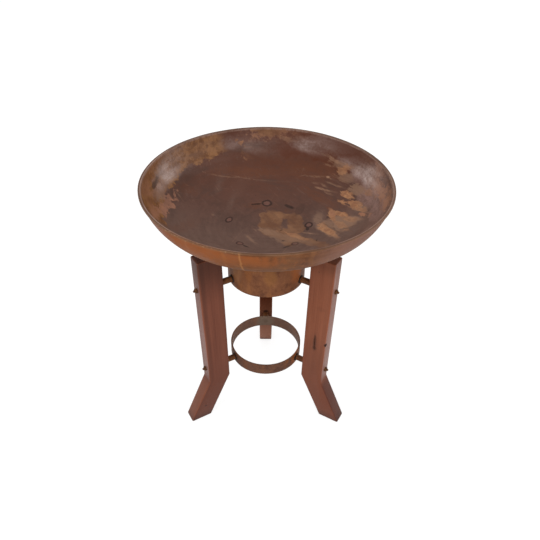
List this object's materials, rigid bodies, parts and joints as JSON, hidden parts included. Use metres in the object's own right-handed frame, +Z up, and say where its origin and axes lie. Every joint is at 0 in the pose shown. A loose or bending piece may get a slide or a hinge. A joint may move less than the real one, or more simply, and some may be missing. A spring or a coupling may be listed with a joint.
{
  "type": "fire pit",
  "caption": "Dished rusted-steel fire bowl on a short open drum, carried by bolted timber legs with kicked-out feet and tied by a lower steel hoop.",
  "frame": {"origin": "on the floor, under the bowl's axis", "axes": "+Z up along the bowl's axis; the back leg points along +Y, and the two front legs stand at 210 and 330 degrees from +X"},
  "size_m": [0.68, 0.68, 0.8268],
  "materials": {
    "bowl_steel": "mottled brown rust with worn satin patches",
    "drum_steel": "orange-brown rust",
    "hoop_steel": "brown rust",
    "leg_timber": "red-brown stained hardwood, satin oil",
    "stud_steel": "dark rust",
    "nut_steel": "dark rust",
    "weld_metal": "dark weld scale"
  },
  "bodies": {
    "root": {"fire_bowl": "bowl_steel", "support_drum": "drum_steel", "bowl_stitch_welds": "weld_metal", "lower_hoop": "hoop_steel", "leg_front_left": "leg_timber", "stud_upper_front_left": "stud_steel", "nut_upper_front_left": "nut_steel", "stud_lower_front_left": "stud_steel", "nut_lower_front_left": "nut_steel", "leg_front_right": "leg_timber", "stud_upper_front_right": "stud_steel", "nut_upper_front_right": "nut_steel", "stud_lower_front_right": "stud_steel", "nut_lower_front_right": "nut_steel", "leg_back": "leg_timber", "stud_upper_back": "stud_steel", "nut_upper_back": "nut_steel", "stud_lower_back": "stud_steel", "nut_lower_back": "nut_steel", "stud_welds_upper": "weld_metal", "stud_welds_lower": "weld_metal"}
  },
  "joints": []
}
